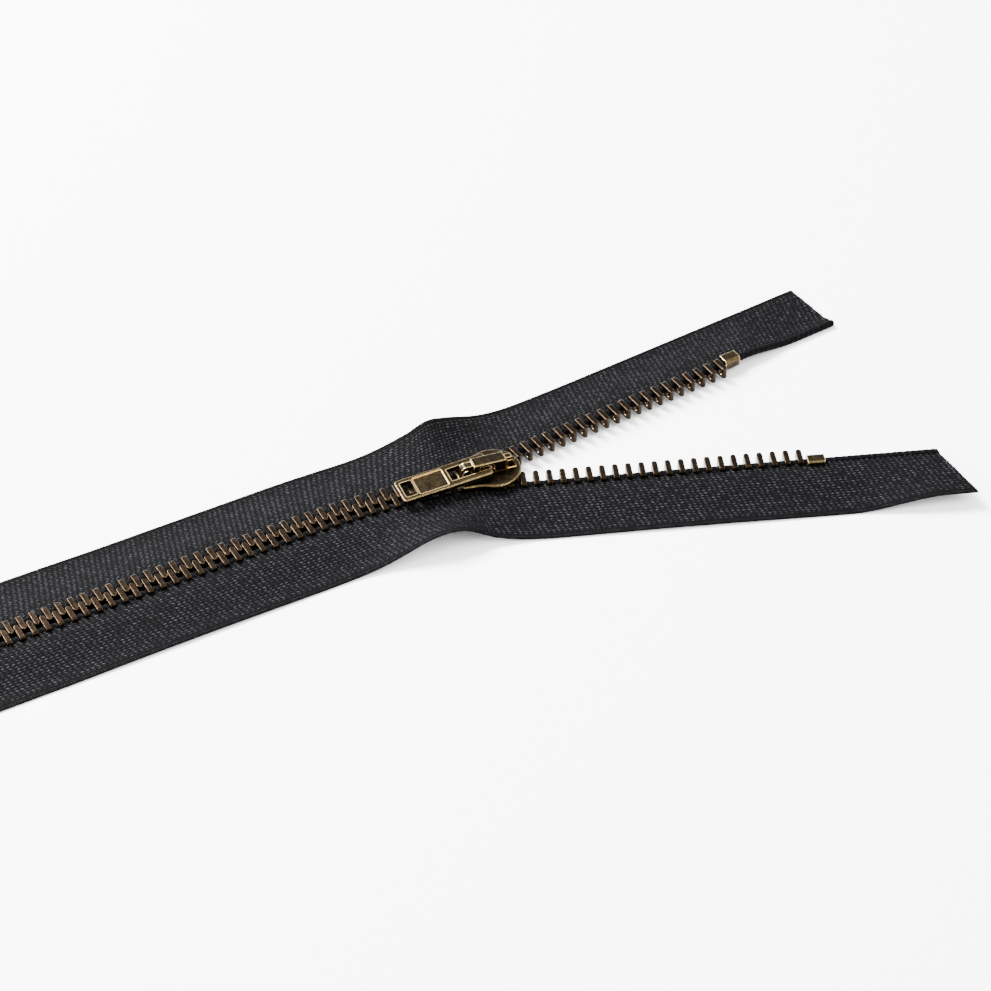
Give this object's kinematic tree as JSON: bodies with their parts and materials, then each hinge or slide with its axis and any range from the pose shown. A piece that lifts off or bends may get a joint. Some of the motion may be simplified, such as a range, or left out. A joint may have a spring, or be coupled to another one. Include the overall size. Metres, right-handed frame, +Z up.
{
  "type": "zipper",
  "caption": "Closed-end metal zipper with woven tapes, clamped teeth, top and bottom stops and an auto-lock slider with a pull tab, shown part open.",
  "frame": {"origin": "middle of the slider's flat underside, on the surface that the zipper lies on", "axes": "+X along the slider's travel towards the top stops, +Y to the left tape, +Z up"},
  "size_m": [0.2541, 0.0747, 0.007],
  "materials": {
    "tape_fabric": "woven polyester tape, near black",
    "cord_fabric": "braided cord, near black",
    "teeth_brass": "antique brass, dark copper brown",
    "stop_brass": "worn antique brass",
    "slider_brass": "antique brass with bright worn edges",
    "spring_steel": "spring steel"
  },
  "bodies": {
    "chain": {"left_tape_closed": "tape_fabric", "left_cord_closed": "cord_fabric", "left_teeth_closed": "teeth_brass", "right_tape_closed": "tape_fabric", "right_cord_closed": "cord_fabric", "right_teeth_closed": "teeth_brass", "bottom_stop": "stop_brass"},
    "left_tail": {"left_tape_middle": "tape_fabric", "left_cord_middle": "cord_fabric", "left_teeth_middle": "teeth_brass"},
    "left_tip": {"left_tape_top": "tape_fabric", "left_cord_top": "cord_fabric", "left_teeth_top": "teeth_brass", "left_top_stop": "stop_brass"},
    "right_tail": {"right_tape_middle": "tape_fabric", "right_cord_middle": "cord_fabric", "right_teeth_middle": "teeth_brass"},
    "right_tip": {"right_tape_top": "tape_fabric", "right_cord_top": "cord_fabric", "right_teeth_top": "teeth_brass", "right_top_stop": "stop_brass"},
    "slider": {"slider_body": "slider_brass", "crown_cover": "slider_brass", "leaf_spring": "spring_steel"},
    "pawl": {"locking_pawl": "spring_steel"},
    "pull": {"pull_tab": "slider_brass"}
  },
  "joints": [
    {"name": "slider_travel", "type": "slide", "parent": "chain", "child": "slider", "axis": [1, 0, 0], "range_m": [0, 0.053], "deforming": ["left_tape_closed", "left_cord_closed", "left_teeth_closed", "right_tape_closed", "right_cord_closed", "right_teeth_closed", "left_tape_middle", "left_cord_middle", "left_teeth_middle", "right_tape_middle", "right_cord_middle", "right_teeth_middle", "left_tape_top", "left_cord_top", "left_teeth_top", "left_top_stop", "right_tape_top", "right_cord_top", "right_teeth_top", "right_top_stop"]},
    {"name": "left_tail_close", "type": "hinge", "parent": "chain", "child": "left_tail", "pos_m": [-0.006, 0, 0.0022], "axis": [0, 0, 1], "range_deg": [-12.9, 0]},
    {"name": "right_tail_close", "type": "hinge", "parent": "chain", "child": "right_tail", "pos_m": [-0.006, 0, 0.0022], "axis": [0, 0, 1], "range_deg": [0, 12.9]},
    {"name": "left_tip_part", "type": "hinge", "parent": "left_tail", "child": "left_tip", "pos_m": [0.04566, 0.01183, 0.0022], "axis": [0, 0, 1], "range_deg": [0, 12.9]},
    {"name": "right_tip_part", "type": "hinge", "parent": "right_tail", "child": "right_tip", "pos_m": [0.04566, -0.01183, 0.0022], "axis": [0, 0, 1], "range_deg": [-12.9, 0]},
    {"name": "pull_swing", "type": "hinge", "parent": "slider", "child": "pull", "pos_m": [-0.0006, 0, 0.0055], "axis": [-0.0436, 0.999, 0], "range_deg": [0, 180]},
    {"name": "pawl_lift", "type": "hinge", "parent": "slider", "child": "pawl", "pos_m": [0.00265, 0, 0.00445], "axis": [0, 1, 0], "range_deg": [0, 4.5], "deforming": ["leaf_spring"]}
  ],
  "couplings": [
    {"joint": "left_tail_close", "follows": "slider_travel", "rad_per_m": -4.2481},
    {"joint": "right_tail_close", "follows": "slider_travel", "rad_per_m": 4.2481},
    {"joint": "left_tip_part", "follows": "slider_travel", "rad_per_m": 4.2481},
    {"joint": "right_tip_part", "follows": "slider_travel", "rad_per_m": -4.2481},
    {"joint": "pawl_lift", "follows": "pull_swing", "ratio": 0.024999}
  ]
}
